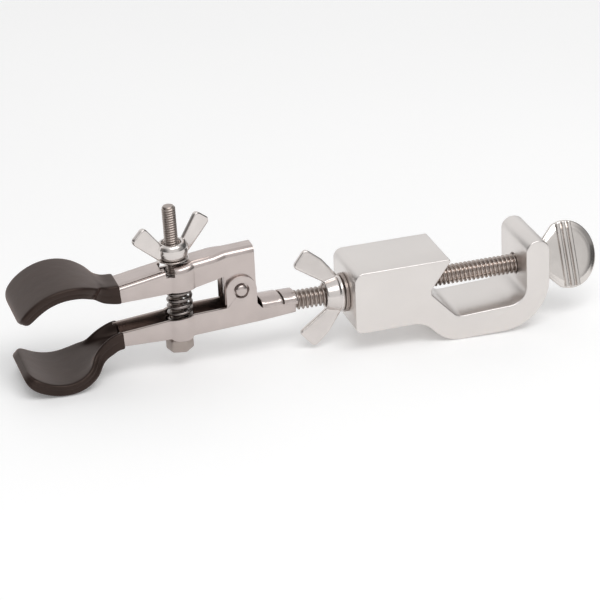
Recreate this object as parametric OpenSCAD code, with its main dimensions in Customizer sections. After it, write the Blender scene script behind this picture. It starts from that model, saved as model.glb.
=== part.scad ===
// Boss head clamp with two pivoting jaws, in millimetres.
// +X runs from the jaws to the thumb screw, +Y runs across and +Z is up.
// The origin is the centre of a support rod held in the V seat, and the rod lies along Y.

/* [Boss head] */
// Width of the casting across the V seat
head_w = 22.4; // [19:0.2:28]
// Length of the solid block, from its flat end to the upper lip of the V
block_len = 32.2; // [27:0.2:42]
// Height of the block's top over the screw axis
block_top = 10.3; // [8.5:0.1:13]
// Depth of the block's underside below the screw axis
block_drop = 10.1; // [8.5:0.1:12]
// Clear width of the throat, from the upper lip to the arm
throat_w = 24.6; // [20:0.2:30]
// Thickness of the arm that the thumb screw passes through
arm_t = 7.8; // [6.5:0.1:10]
// Height of the arm's rounded end over the screw axis
arm_top = 11.5; // [9.5:0.1:14]
// Thickness of the bridge under the throat
bridge_t = 8.2; // [6.5:0.1:10]
// Depth of the throat's floor below the screw axis
floor_drop = 9.7; // [8.5:0.1:12]
// Depth of the V, from the upper lip to the flat at its root
v_depth = 7.1; // [6:0.1:9]
// Half the height of the flat at the root of the V
v_flat = 0.8; // [0.4:0.1:1.2]
// Diameter of the support rod that sits at the origin
support_rod_d = 12; // [8:0.5:14]

/* [Thumb screw] */
// Thread diameter of the thumb screw and of the swivel rod
screw_d = 6.35; // [5:0.05:7.5]
// Length across the oval head, along the screw
thumb_l = 19; // [15:0.5:24]
// Width across the oval head
thumb_w = 22.6; // [17:0.2:28]
// Thickness of the head's plate
thumb_t = 2.6; // [2:0.1:4]
// Height of the grip ribs over the plate
rib_h = 0.5; // [0.3:0.1:0.9]
// Turn of the head about the screw axis, in degrees
thumb_roll = 25; // [0:1:90]

/* [Swivel rod] */
// Bare length of the rod between the block and the jaw's tail
rod_gap = 16.5; // [15.5:0.1:26]
// Length of the rod screwed into the block
rod_in_block = 18; // [10:0.5:21]
// Outer diameter of the washer against the block
rod_washer_d = 12.4; // [10:0.2:15]
// Thickness of both washers
washer_t = 1.2; // [0.9:0.1:1.6]
// Tip to tip span of the lock nut's wings
rod_nut_span = 31.4; // [24:0.2:36]

/* [Jaws] */
// Outer width of the pressed channels
jaw_w = 9.6; // [8.8:0.1:12]
// Thickness of the pressed sheet
sheet_t = 1; // [0.8:0.05:1.2]
// Distance from the rod's end to the pivot
pivot_back = 18.1; // [16:0.1:22]
// Height of the pivot over the rod axis
pivot_z = 8.5; // [7.8:0.1:10]
// Diameter of the pivot rivet
pivot_d = 3.2; // [2.4:0.1:4]
// Distance from the pivot to the adjusting bolt
bolt_back = 19.4; // [17:0.1:24]
// Thread diameter of the adjusting bolt
bolt_d = 4.3; // [3.5:0.1:4.8]
// Height of the bolt's end over the rod axis
bolt_top = 38.4; // [33:0.5:48]
// Tip to tip span of the top nut's wings
jaw_nut_span = 27.8; // [22:0.2:34]
// Outer diameter of the spring
spring_d = 8.2; // [7:0.1:8.6]
// Diameter of the spring wire
wire_d = 1.1; // [0.8:0.1:1.3]

/* [Pads] */
// Width of the dipped grip pads
pad_w = 25.8; // [20:0.2:32]
// Thickness of the dipped pads
pad_t = 3.8; // [3:0.1:4.6]
// Inner radius of the gripping arcs
grip_r = 14.5; // [12:0.1:18]
// Distance from the bolt to the middle of the gripping arcs
grip_back = 36.6; // [33:0.1:46]
// Length of the dip over the channels behind the arcs
dip_neck = 18; // [16:0.2:24]

/* [Hidden] */
$fn = 64;

run_gap = 0.05;
side_gap = 0.2;
seat_gap = 0.05;
big = 100;

// Places along X
lip_x = -0.1;
block_x = lip_x - block_len;
root_x = lip_x - v_depth;
arm_in = lip_x + throat_w;
arm_out = arm_in + arm_t;
rod_end = block_x - rod_gap;
pivot_x = rod_end - pivot_back;
bolt_x = pivot_x - bolt_back;
grip_x = bolt_x - grip_back;
dip_x = grip_x + dip_neck;

// Radii and heights
screw_r = screw_d / 2;
bolt_r = bolt_d / 2;
pivot_r = pivot_d / 2;
floor_z = -floor_drop;
keel_z = floor_z - bridge_t;
half_w = jaw_w / 2;
inner_w = half_w - sheet_t;
tongue_w = inner_w - side_gap;

// Tail of the lower jaw
tail_top = 2.6;
tail_drop = 2.5;
tail_cover = 9.5;
tang_l = 8;
tang_play = 0.1;

// Lower jaw
ear_r = 4.9;
heel_drop = 3.2;
floor_of_jaw = -4.5;
wall_front = 0.9;
wall_bolt = 2.7;
wall_ear = 3.4;
bulge_r = half_w + 1.2;
bulge_dip = 0.8;

// Upper jaw
web_front = 16.5;
web_bolt = pivot_z + 11.17;
web_slope = 0.107;
web_rear = web_bolt + 1.75;
skirt_front = 10.9;
skirt_bolt = 11.6;
skirt_rear = 13.7;
joggle_x = pivot_x - ear_r - 0.7;
joggle_l = 2.4;
tongue_drop = 4.4;
rear_x = pivot_x + 5.2;
slot_front = 5.9;
slot_rear = 3.6;
slot_half = bolt_r + 0.45;
notch_l = 4;

// Gripping arcs: centre heights, and how far each runs towards its tip
upper_arc_z = 3.1;
lower_arc_z = 5;
upper_tip = 55;
lower_tip = 47;
upper_neck = 34;
lower_neck = 33;
skin_t = 0.7;
core_t = sheet_t;

// Top washer and nut, with the washer's underside a shallow dome
dome_r = 18;
rest_gap = 0.25;
jaw_washer_r = 5;
jaw_washer_z = web_bolt + 0.1 + rest_gap;
jaw_nut_z = jaw_washer_z + washer_t + seat_gap;
jaw_nut_turn = 18;
rod_nut_turn = 11.5;

function unit(v) = v / norm(v);

// Points of the arc that rounds the corner b of the path a, b, c
function rounding(a, b, c, r, n = 7) =
    let (u = unit(a - b))
    let (v = unit(c - b))
    let (half = acos(u * v) / 2)
    let (m = b + unit(u + v) * r / sin(half))
    let (from = b + u * r / tan(half) - m)
    let (to = b + v * r / tan(half) - m)
    let (start = atan2(from.y, from.x))
    let (sweep = (atan2(to.y, to.x) - start + 540) % 360 - 180)
    [for (i = [0:n]) m + r * [cos(start + sweep * i / n), sin(start + sweep * i / n)]];

function at(c) = [c.x, c.y];

// Outline through corners [x, y, r], each rounded to its own radius
function outline(corners) =
    let (n = len(corners))
    [for (i = [0:n - 1])
        let (c = corners[i])
        each c.z == 0 ? [at(c)]
            : rounding(at(corners[(i + n - 1) % n]), at(c), at(corners[(i + 1) % n]), c.z)];

function arc(x, y, r, from, to, n = 12) =
    [for (i = [0:n]) let (a = from + (to - from) * i / n) [x + r * cos(a), y + r * sin(a)]];

// Outline drawn in X and Z, extruded across Y
module across(corners, w) {
    rotate([90, 0, 0])
        linear_extrude(height = w, center = true)
            polygon(corners);
}

module along_x(r, from, to) {
    translate([from, 0, 0])
        rotate([0, 90, 0])
            cylinder(r = r, h = to - from);
}

function head_outline() = outline([
    [block_x, -block_drop, 1.6],
    [block_x, block_top, 1.2],
    [lip_x, block_top, 0.5],
    [root_x, v_flat, 0.4],
    [root_x, -v_flat, 0.4],
    [root_x + (floor_drop - v_flat) * 0.95, floor_z - 0.2, 2.6],
    [arm_in, floor_z + 0.7, 5.5],
    [arm_in, arm_top, arm_t * 0.42],
    [arm_out, arm_top, arm_t * 0.42],
    [arm_out, keel_z + 0.3, 12.5],
    [block_x + 30.2, keel_z - 0.1, 7],
    [block_x + 22.2, -block_drop, 3.2]]);

module boss_head() {
    color("gainsboro")
        difference() {
            across(head_outline(), head_w);
            along_x(screw_r + run_gap, block_x - 1, block_x + rod_in_block + 1);
            along_x(screw_r + run_gap, arm_in - 1, arm_out + 1);
        }
}

function thumb_outline() =
    let (a = thumb_l / 2)
    let (b = thumb_w / 2)
    concat(
        [for (i = [-22:22]) [a + a * cos(i * 6), b * sin(i * 6)]],
        [[-a * 0.04, screw_r + 0.6], [-a * 0.04, -screw_r - 0.6]]);

module clamp_screw() {
    tip_x = root_x + 1.8;
    head_x = arm_out + 0.9;
    color("silver") {
        translate([tip_x, 0, 0])
            rotate([0, 90, 0])
                cylinder(r1 = screw_r * 0.6, r2 = screw_r, h = 1.3);
        along_x(screw_r, tip_x + 1.3, head_x + thumb_l * 0.3);
        translate([head_x, 0, 0])
            rotate([90 - thumb_roll, 0, 0])
                thumb_plate();
    }
}

module thumb_plate() {
    linear_extrude(height = thumb_t, center = true)
        polygon(thumb_outline());
    intersection() {
        linear_extrude(height = thumb_t + 2 * rib_h, center = true)
            polygon([for (p = thumb_outline()) p * 0.96 + [thumb_l * 0.02, 0]]);
        for (i = [0:3])
            translate([thumb_l * 0.55 + (i - 1.5) * 2.05, 0, 0])
                cube([1.5, thumb_w, thumb_t + 2 * rib_h], center = true);
    }
}

module swivel_rod() {
    color("darkgray") {
        along_x(screw_r, rod_end + 0.2, block_x + rod_in_block);
        translate([rod_end + 0.3 - tang_l / 2, 0, 0])
            cube([tang_l, 2 * (inner_w - tang_play), 2 * (tail_drop - sheet_t - tang_play)],
                center = true);
    }
}

module rod_washer() {
    color("silver")
        difference() {
            along_x(rod_washer_d / 2, block_x - washer_t - seat_gap, block_x - seat_gap);
            along_x(screw_r + 0.2, block_x - washer_t - 1, block_x + 1);
        }
}

// Wing nut standing on Z = 0, with its wings along X
module wing_nut(span, height, hub_r, hub_h, bore_r) {
    half = span / 2;
    difference() {
        union() {
            cylinder(r = hub_r, h = hub_h * 0.35);
            translate([0, 0, hub_h * 0.35])
                cylinder(r1 = hub_r, r2 = bore_r + 1.1, h = hub_h * 0.65);
            for (side = [0, 180])
                rotate([0, 0, side])
                    across(outline([
                        [bore_r + 0.3, 0.5, 0],
                        [hub_r + 0.6, 0.5, 0],
                        [half, height * 0.72, 1.4],
                        [half * 0.65, height, 1.4],
                        [bore_r + 0.9, hub_h, 0],
                        [bore_r + 0.3, hub_h * 0.9, 0]]), 1.9);
        }
        translate([0, 0, -1])
            cylinder(r = bore_r, h = hub_h + 2);
    }
}

module rod_wing_nut() {
    color("silver")
        translate([block_x - washer_t - 2 * seat_gap, 0, 0])
            rotate([-rod_nut_turn, 0, 0])
                rotate([0, -90, 0])
                    wing_nut(rod_nut_span, 14.4, 5.4, 5.4, screw_r + run_gap);
}

module jaw_wing_nut() {
    color("silver")
        translate([bolt_x, 0, jaw_nut_z])
            rotate([0, 0, jaw_nut_turn])
                wing_nut(jaw_nut_span, 12.5, 4.6, 5, bolt_r + run_gap);
}

module jaw_washer() {
    color("silver")
        translate([bolt_x, 0, jaw_washer_z])
            rotate_extrude()
                polygon(concat(
                    [for (i = [0:4])
                        let (r = bolt_r + 0.15 + (jaw_washer_r - bolt_r - 0.15) * i / 4)
                        [r, dome_r - sqrt(dome_r * dome_r - r * r)]],
                    [[jaw_washer_r, washer_t], [bolt_r + 0.15, washer_t]]));
}

// Side view of the lower jaw, from the dip's end to the rod
function lower_side() = outline([
    [dip_x - 6, floor_of_jaw + 0.3, 0],
    [bolt_x - 8, floor_of_jaw - 0.1, 0],
    [bolt_x + 8, floor_of_jaw + 0.2, 0],
    [rod_end - 13, -heel_drop, 0],
    [rod_end, -tail_drop, 0],
    [rod_end, tail_top, 0.6],
    [pivot_x + ear_r, tail_top, 1],
    [pivot_x + ear_r, pivot_z + ear_r, ear_r - 0.01],
    [pivot_x - ear_r, pivot_z + ear_r, ear_r - 0.01],
    [pivot_x - ear_r, wall_ear, 0.8],
    [bolt_x + 5, wall_bolt + 0.3, 0],
    [bolt_x - 5, wall_bolt - 0.6, 0],
    [dip_x - 6, wall_front, 0]]);

module lower_shell() {
    difference() {
        union() {
            across(lower_side(), jaw_w);
            intersection() {
                translate([bolt_x, 0, floor_of_jaw - bulge_dip])
                    cylinder(r = bulge_r, h = wall_bolt - floor_of_jaw + bulge_dip);
                translate([bolt_x - big / 2, -bulge_r, floor_of_jaw - big / 2])
                    cube([big, 2 * bulge_r, big]);
            }
        }
        across([
            [dip_x - 8, floor_of_jaw + sheet_t + 0.3],
            [bolt_x - 8, floor_of_jaw + sheet_t - 0.1],
            [bolt_x + 8, floor_of_jaw + sheet_t + 0.2],
            [rod_end - 13, -heel_drop + sheet_t],
            [rod_end + 1, -tail_drop + sheet_t],
            [rod_end + 1, tail_top - sheet_t],
            [rod_end - tail_cover, tail_top - sheet_t],
            [rod_end - tail_cover, big],
            [dip_x - 8, big]], 2 * inner_w);
        translate([bolt_x, 0, floor_of_jaw - bulge_dip + sheet_t])
            cylinder(r = bulge_r - sheet_t, h = big);
    }
}

// Strip that follows a gripping arc; side is 1 for the upper jaw and -1 for the lower
function strip(arc_z, side, tip, neck, inner, outer) = concat(
    arc(grip_x, arc_z, inner, side * (90 + tip), side * (90 - neck)),
    arc(grip_x, arc_z, outer, side * (90 - neck), side * (90 + tip)));

// Plan view of a pad and its neck, with the pad's sides set back by trim
function plan(trim, tip_x, neck_w) =
    let (h = pad_w / 2 - trim)
    outline([
        [tip_x + trim, -h, 5.5],
        [grip_x + 4.5, -h, 7],
        [grip_x + 11, -neck_w, 4],
        [dip_x, -neck_w, 0],
        [dip_x, neck_w, 0],
        [grip_x + 11, neck_w, 4],
        [grip_x + 4.5, h, 7],
        [tip_x + trim, h, 5.5]]);

module plan_block(trim, tip_x, neck_w) {
    translate([0, 0, -big / 2])
        linear_extrude(height = big)
            polygon(plan(trim, tip_x, neck_w));
}

tip_line = grip_x - 15.2;

module lower_core() {
    intersection() {
        union() {
            across(strip(lower_arc_z, -1, lower_tip - 3, lower_neck + 2,
                grip_r + (pad_t - core_t) / 2, grip_r + (pad_t + core_t) / 2), pad_w);
            across(lower_neck_outline(skin_t + 0.2), 2 * half_w);
        }
        plan_block(1.4, tip_line, half_w);
    }
}

function lower_neck_outline(in) = outline([
    [grip_x + 8.6, lower_arc_z - grip_r - 0.6 + in, 0],
    [grip_x + 11.6, floor_of_jaw - 1.6 + in, 1.5],
    [dip_x - 2.2, floor_of_jaw - 0.5 + in, 2],
    [dip_x, floor_of_jaw - 0.5 + in, 0],
    [dip_x, wall_front + 0.7 - in, 0],
    [dip_x - 3.4, wall_front + 0.5 - in, 2],
    [grip_x + 10.4, wall_front - 2 - in, 2],
    [grip_x + 7.4, lower_arc_z - grip_r + 3.6 - in, 0]]);

module lower_jaw() {
    color("silver")
        difference() {
            union() {
                intersection() {
                    lower_shell();
                    translate([dip_x, -big / 2, -big / 2])
                        cube([big, big, big]);
                }
                lower_core();
            }
            translate([bolt_x, 0, floor_of_jaw - 3])
                cylinder(r = bolt_r + 0.1, h = 5);
            translate([pivot_x, 0, pivot_z])
                rotate([90, 0, 0])
                    cylinder(r = pivot_r, h = big, center = true);
            for (x = [rod_end - tail_cover + 1.6, rod_end - 3.4])
                translate([x, 1, tail_top])
                    rotate([0, 0, 38])
                        cube([0.7, inner_w * 2, 2.6], center = true);
        }
}

module lower_jaw_coating() {
    color("dimgray")
        difference() {
            intersection() {
                union() {
                    across(strip(lower_arc_z, -1, lower_tip, lower_neck, grip_r, grip_r + pad_t), pad_w);
                    across(lower_neck_outline(0), 2 * (half_w + skin_t));
                }
                plan_block(0, tip_line, half_w + skin_t);
            }
            lower_core();
        }
}

// Side view of the upper jaw, with the tongues that reach down to the pivot
function upper_side(in) = outline([
    [dip_x - 6, web_front - in, 0],
    [bolt_x - 4.3, web_bolt - 4.3 * web_slope - in, 0],
    [bolt_x + 6, web_bolt + 6 * web_slope - in, 0],
    [rear_x + 0.5 + in, web_rear - in, in > 0 ? 0 : 1],
    [rear_x + in, pivot_z + 8, 0],
    [rear_x + in, pivot_z - tongue_drop - 3 * in, in > 0 ? 0 : 2],
    [joggle_x + joggle_l - 2.6 * in, pivot_z - tongue_drop - 3 * in, in > 0 ? 0 : 2],
    [joggle_x + joggle_l - 2.6 * in, skirt_rear - 3 * in, 0],
    [bolt_x + 4, skirt_bolt + 0.3 - 3 * in, 0],
    [bolt_x - 4.3, skirt_bolt - 0.2 - 3 * in, 0],
    [dip_x - 6, skirt_front - 3 * in, 0]]);

function upper_plan(in) = [
    [dip_x - 8, half_w - in],
    [joggle_x, half_w - in],
    [joggle_x + joggle_l, tongue_w - in],
    [rear_x + 3, tongue_w - in],
    [rear_x + 3, in - tongue_w],
    [joggle_x + joggle_l, in - tongue_w],
    [joggle_x, in - half_w],
    [dip_x - 8, in - half_w]];

module upper_body(in) {
    intersection() {
        across(upper_side(in), jaw_w);
        translate([0, 0, -big / 2])
            linear_extrude(height = big)
                polygon(upper_plan(in));
    }
}

module upper_shell() {
    difference() {
        union() {
            upper_body(0);
            intersection() {
                translate([bolt_x, 0, skirt_bolt + 0.4])
                    cylinder(r = bulge_r, h = web_bolt - skirt_bolt - 2.4);
                across(upper_side(0), 2 * bulge_r);
            }
        }
        upper_body(sheet_t);
        translate([bolt_x, 0, 0])
            cylinder(r = bulge_r - sheet_t, h = web_bolt - sheet_t - 0.8);
    }
}

module upper_core() {
    intersection() {
        union() {
            across(strip(upper_arc_z, 1, upper_tip - 3, upper_neck + 2,
                grip_r + (pad_t - core_t) / 2, grip_r + (pad_t + core_t) / 2), pad_w);
            across(upper_neck_outline(skin_t + 0.2), 2 * half_w);
        }
        plan_block(1.4, tip_line, half_w);
    }
}

function upper_neck_outline(in) = outline([
    [grip_x + 8.2, upper_arc_z + grip_r + 0.6 - in, 0],
    [grip_x + 11.4, web_front + 1.9 - in, 2],
    [dip_x - 2.2, web_front + 0.6 - in, 2],
    [dip_x, web_front + 0.8 - in, 0],
    [dip_x, skirt_front - 0.6 + in, 0],
    [dip_x - 3.4, skirt_front - 0.5 + in, 2],
    [grip_x + 9.6, skirt_front + 2 + in, 2],
    [grip_x + 7.2, upper_arc_z + grip_r - 3.4 + in, 0]]);

module upper_jaw() {
    color("silver")
        difference() {
            union() {
                intersection() {
                    upper_shell();
                    translate([dip_x, -big / 2, -big / 2])
                        cube([big, big, big]);
                }
                upper_core();
            }
            translate([bolt_x - slot_front, -slot_half, web_bolt - 5])
                cube([slot_front + slot_rear, 2 * slot_half, 10]);
            for (side = [-1, 1])
                translate([bolt_x - slot_front + notch_l / 2, side * half_w, web_bolt])
                    cube([notch_l, 2 * (half_w - slot_half) + 0.1, 4.6], center = true);
            translate([pivot_x, 0, pivot_z])
                rotate([90, 0, 0])
                    cylinder(r = pivot_r + run_gap, h = big, center = true);
        }
}

module upper_jaw_coating() {
    color("dimgray")
        difference() {
            intersection() {
                union() {
                    across(strip(upper_arc_z, 1, upper_tip, upper_neck, grip_r, grip_r + pad_t), pad_w);
                    across(upper_neck_outline(0), 2 * (half_w + skin_t));
                }
                plan_block(0, tip_line, half_w + skin_t);
            }
            upper_core();
        }
}

module pivot_pin() {
    cap_r = pivot_r + 0.35;
    cap_h = 0.9;
    color("silver")
        translate([pivot_x, 0, pivot_z])
            rotate([90, 0, 0]) {
                cylinder(r = pivot_r, h = jaw_w, center = true);
                for (side = [0, 180])
                    rotate([side, 0, 0])
                        translate([0, 0, half_w])
                            cylinder(r1 = cap_r, r2 = cap_r * 0.55, h = cap_h);
            }
}

module adjusting_bolt() {
    head_top = floor_of_jaw - bulge_dip - seat_gap;
    head_h = 4;
    color("silver") {
        translate([bolt_x, 0, head_top - head_h])
            rotate([0, 0, 15])
                cylinder(r = 4.4, h = head_h, $fn = 6);
        translate([bolt_x, 0, head_top - 1])
            cylinder(r = bolt_r, h = bolt_top - head_top + 0.4);
        translate([bolt_x, 0, bolt_top - 0.6])
            cylinder(r1 = bolt_r, r2 = bolt_r * 0.75, h = 0.6);
    }
}

module jaw_spring() {
    foot = floor_of_jaw - bulge_dip + sheet_t + seat_gap;
    reach = web_bolt - sheet_t - 0.55 - spring_d / 2 * web_slope;
    color("dimgray")
        translate([bolt_x, 0, foot])
            difference() {
                cylinder(r = spring_d / 2, h = reach - foot);
                translate([0, 0, -1])
                    cylinder(r = spring_d / 2 - wire_d, h = reach - foot + 2);
            }
}

boss_head();
clamp_screw();
swivel_rod();
rod_washer();
rod_wing_nut();
lower_jaw();
upper_jaw();
pivot_pin();
adjusting_bolt();
jaw_spring();
jaw_washer();
jaw_wing_nut();
lower_jaw_coating();
upper_jaw_coating();
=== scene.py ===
import math
import bmesh
import bpy
from mathutils import Matrix, Vector


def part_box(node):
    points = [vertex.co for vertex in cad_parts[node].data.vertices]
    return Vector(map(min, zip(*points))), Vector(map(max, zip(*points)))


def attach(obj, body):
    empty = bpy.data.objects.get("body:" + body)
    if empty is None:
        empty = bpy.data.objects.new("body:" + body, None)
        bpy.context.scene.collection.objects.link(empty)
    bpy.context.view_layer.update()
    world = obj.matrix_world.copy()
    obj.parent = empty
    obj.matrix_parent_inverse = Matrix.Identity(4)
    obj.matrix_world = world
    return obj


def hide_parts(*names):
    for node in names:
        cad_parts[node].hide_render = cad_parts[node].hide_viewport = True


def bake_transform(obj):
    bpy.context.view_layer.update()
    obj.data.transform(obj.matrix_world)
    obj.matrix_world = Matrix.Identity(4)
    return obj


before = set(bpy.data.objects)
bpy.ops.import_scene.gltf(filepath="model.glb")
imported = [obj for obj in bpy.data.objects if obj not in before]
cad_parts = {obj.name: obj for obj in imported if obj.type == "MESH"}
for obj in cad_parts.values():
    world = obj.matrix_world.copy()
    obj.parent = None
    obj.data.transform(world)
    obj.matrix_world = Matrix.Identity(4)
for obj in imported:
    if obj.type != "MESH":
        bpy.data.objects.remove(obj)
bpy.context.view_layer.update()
print("frame loaded:", len(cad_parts), "nodes")

# Pieces are drawn in millimetres and brought to metres by finishPiece
mm = 0.001
xAxis, yAxis, zAxis = Vector((1, 0, 0)), Vector((0, 1, 0)), Vector((0, 0, 1))


def boxOf(node):
    low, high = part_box(node)
    return low / mm, high / mm


def middleOf(node):
    low, high = boxOf(node)
    return (low + high) / 2


headHigh = boxOf("boss_head")[1]
rodEnd = boxOf("lower_jaw")[1].x        # end of the crimped tail
pivot = middleOf("pivot_pin")
bolt = middleOf("adjusting_bolt")
dipX = boxOf("upper_jaw_coating")[1].x  # where the dip ends on both jaws


class Value:
    # a socket that takes part in sums
    def __init__(self, shader, socket):
        self.shader, self.socket = shader, socket

    def math(self, operation, first, second):
        return self.shader.node("ShaderNodeMath", {"operation": operation}, {0: first, 1: second})

    def __add__(self, other):
        return self.math("ADD", self, other)

    def __mul__(self, other):
        return self.math("MULTIPLY", self, other)

    __radd__, __rmul__ = __add__, __mul__


class NodeTree:
    def __init__(self, tree):
        self.nodes, self.links = tree.nodes, tree.links

    def feed(self, node, name, value):
        if isinstance(value, Value):
            self.links.new(value.socket, node.inputs[name])
        else:
            node.inputs[name].default_value = value

    def node(self, kind, settings=None, inputs=None, out=0):
        made = self.nodes.new(kind)
        for name, value in (settings or {}).items():
            if name == "stops":
                ramp = made.color_ramp
                while len(ramp.elements) < len(value):
                    ramp.elements.new(0.5)
                for element, (position, colour) in zip(ramp.elements, value):
                    element.position, element.color = position, colour
            else:
                setattr(made, name, value)
        for name, value in (inputs or {}).items():
            self.feed(made, name, value)
        return Value(self, made.outputs[out])


class Shader(NodeTree):
    def __init__(self, name, **settings):
        self.material = bpy.data.materials.new(name)
        self.material.use_nodes = True
        super().__init__(self.material.node_tree)
        self.nodes.clear()
        self.place = self.node("ShaderNodeTexCoord", out="Object")
        self.surface = self.nodes.new("ShaderNodeBsdfPrincipled")
        output = self.nodes.new("ShaderNodeOutputMaterial")
        self.links.new(self.surface.outputs["BSDF"], output.inputs["Surface"])
        for name, value in settings.items():
            self.feed(self.surface, name, value)

    def noise(self, scale, detail=2, stretch=(1, 1, 1)):
        spread = self.node("ShaderNodeMapping", None, {"Vector": self.place, "Scale": stretch})
        return self.node("ShaderNodeTexNoise", None, {"Vector": spread, "Scale": scale, "Detail": detail})

    def ramp(self, factor, stops):
        return self.node("ShaderNodeValToRGB", {"stops": stops}, {"Fac": factor})

    def bump(self, height, distance, strength):
        self.feed(self.surface, "Normal", self.node(
            "ShaderNodeBump", None, {"Height": height, "Distance": distance, "Strength": strength}))


def grey(colour, share=1.0):
    return (colour[0] * share, colour[1] * share, colour[2] * share, 1)


# grain and wave are heights in metres
castFinish = {"colour": (0.745, 0.708, 0.684), "rough": 0.34, "grain": 0.000004}
plateFinish = {"colour": (0.70, 0.655, 0.63), "rough": 0.2, "wave": 0.00004}
# the jaws' second colour is painted shade for the faces inside their channels
jawFinish = {"colour": (0.54, 0.475, 0.452), "rough": 0.23, "wave": 0.00008, "second": (0.4, 0.34, 0.315)}
screwFinish = {"colour": (0.70, 0.66, 0.63), "rough": 0.15, "wave": 0.00002, "second": (0.42, 0.362, 0.33)}
threadFinish = {"colour": (0.40, 0.345, 0.315), "rough": 0.3, "wave": 0.00002}
wireFinish = {"colour": (0.26, 0.232, 0.22), "rough": 0.18, "wave": 0.00001}
# sheen is the strength and tint of the shine; warm is what the coat lets through
vinylFinish = {
    "colour": (0.024, 0.0165, 0.0145), "rough": 0.24, "wave": 0.00012,
    "sheen": 0.3, "sheenTint": (1, 0.8, 0.7, 1), "warm": (1, 0.972, 0.962, 1),
}
floorFinish = {"low": 0.90, "high": 0.92, "rough": 0.75, "glow": 0.17}


def castMetal():
    shader = Shader("satinCasting", Metallic=1.0)
    cloud = shader.noise(70, 3)
    grain = shader.noise(1500, 3)
    shader.feed(shader.surface, "Base Color", shader.ramp(cloud, [
        (0.3, grey(castFinish["colour"], 0.975)), (0.7, grey(castFinish["colour"], 1.02))]))
    shader.feed(shader.surface, "Roughness", castFinish["rough"] - 0.02 + 0.04 * cloud)
    shader.bump(grain, castFinish["grain"], 0.25)
    return shader.material


def platedMetal(name, finish):
    shader = Shader(name, Metallic=1.0)
    cloud = shader.noise(160, 3)
    scratches = shader.noise(1500, 2, (0.15, 1, 1))
    wave = shader.noise(220, 1)
    colour = shader.ramp(cloud, [(0.3, grey(finish["colour"], 0.94)), (0.72, grey(finish["colour"], 1.05))])
    if "second" in finish:
        # some faces carry a second colour: a duller thread on the screw, and painted shade on the faces
        # inside a pressed sheet's channel
        share = shader.node("ShaderNodeAttribute", {"attribute_name": "second"}, out="Fac")
        colour = shader.node("ShaderNodeMix", {"data_type": "RGBA"},
                             {0: share, 6: colour, 7: grey(finish["second"])}, 2)
    shader.feed(shader.surface, "Base Color", colour)
    shader.feed(shader.surface, "Roughness", finish["rough"] - 0.05 + 0.07 * cloud + 0.06 * scratches)
    shader.bump(wave + 0.12 * scratches, finish["wave"], 0.5)
    return shader.material


def dippedVinyl():
    # the coat reflects nothing and only warms what lies under it
    shader = Shader("dippedVinyl", **{
        "Specular IOR Level": vinylFinish["sheen"], "Specular Tint": vinylFinish["sheenTint"],
        "Coat Weight": 1.0, "Coat IOR": 1.0, "Coat Tint": vinylFinish["warm"]})
    cloud = shader.noise(120, 2)
    dust = shader.noise(3200, 2)
    ripple = shader.noise(240, 2)
    shader.feed(shader.surface, "Base Color", shader.ramp(cloud, [
        (0.3, grey(vinylFinish["colour"], 0.85)), (0.75, grey(vinylFinish["colour"], 1.3))]))
    shader.feed(shader.surface, "Roughness", vinylFinish["rough"] + 0.1 * cloud + 0.05 * dust)
    shader.bump(ripple + 0.06 * dust, vinylFinish["wave"], 0.5)
    return shader.material


def paleFloor():
    white = (1, 1, 1)
    shader = Shader("paleFloor", Roughness=floorFinish["rough"], **{
        "Emission Color": grey(white), "Emission Strength": floorFinish["glow"]})
    shader.feed(shader.surface, "Base Color", shader.ramp(shader.noise(6, 2), [
        (0.2, grey(white, floorFinish["low"])), (0.8, grey(white, floorFinish["high"]))]))
    return shader.material


looks = {
    "cast_head": castMetal(),
    "bright_plate": platedMetal("brightPlate", plateFinish),
    "screw_plate": platedMetal("screwPlate", screwFinish),
    "jaw_plate": platedMetal("jawPlateWithPaintedShade", jawFinish),
    "dull_plate": platedMetal("threadPlate", threadFinish),
    "dark_wire": platedMetal("springWire", wireFinish),
    "black_vinyl": dippedVinyl(),
}
print("materials made")


def markDullAndShade(piece, test):
    # faces for which the test holds carry the second colour: the screw's duller thread, and painted shade
    # inside the jaws' channels
    share = piece.data.attributes.new("second", "FLOAT", "CORNER")
    for face in piece.data.polygons:
        value = 1.0 if test(face.center / mm, face.normal) else 0.0
        for corner in face.loop_indices:
            share.data[corner].value = value


def finishPiece(name, bm, body, nodes, slot, smooth=32, recalc=True, look=None):
    bmesh.ops.remove_doubles(bm, verts=bm.verts, dist=0.002)
    if recalc:
        bmesh.ops.recalc_face_normals(bm, faces=bm.faces)
    bmesh.ops.scale(bm, vec=(mm, mm, mm), verts=bm.verts)
    mesh = bpy.data.meshes.new(name)
    bm.to_mesh(mesh)
    bm.free()
    piece = bpy.data.objects.new(name, mesh)
    bpy.context.scene.collection.objects.link(piece)
    mesh.materials.append(looks[look or slot])
    mesh.shade_smooth()
    mesh.set_sharp_from_angle(angle=math.radians(smooth))
    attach(piece, body)
    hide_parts(*nodes)
    return piece


def addModifier(piece, kind, **settings):
    modifier = piece.modifiers.new(kind.title(), kind)
    for name, value in settings.items():
        setattr(modifier, name, value)


def bakeModifiers(piece, smooth=32):
    # the finished shape becomes the piece's own mesh
    bpy.context.view_layer.update()
    solid = bpy.data.meshes.new_from_object(piece.evaluated_get(bpy.context.evaluated_depsgraph_get()))
    piece.modifiers.clear()
    piece.data = solid
    solid.shade_smooth()
    solid.set_sharp_from_angle(angle=math.radians(smooth))


def ofKind(geom, kind):
    return [item for item in geom if isinstance(item, kind)]


def softenBlock(bm, verts, offset, segments):
    # rounds every edge of a block or prism that was made from these verts
    # a dictionary keeps the edges in the same order each run
    edges = list(dict.fromkeys(e for v in verts for e in v.link_edges))
    bmesh.ops.bevel(bm, geom=edges, offset=offset, segments=segments, profile=0.5, affect="EDGES",
                    material=-1)


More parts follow.
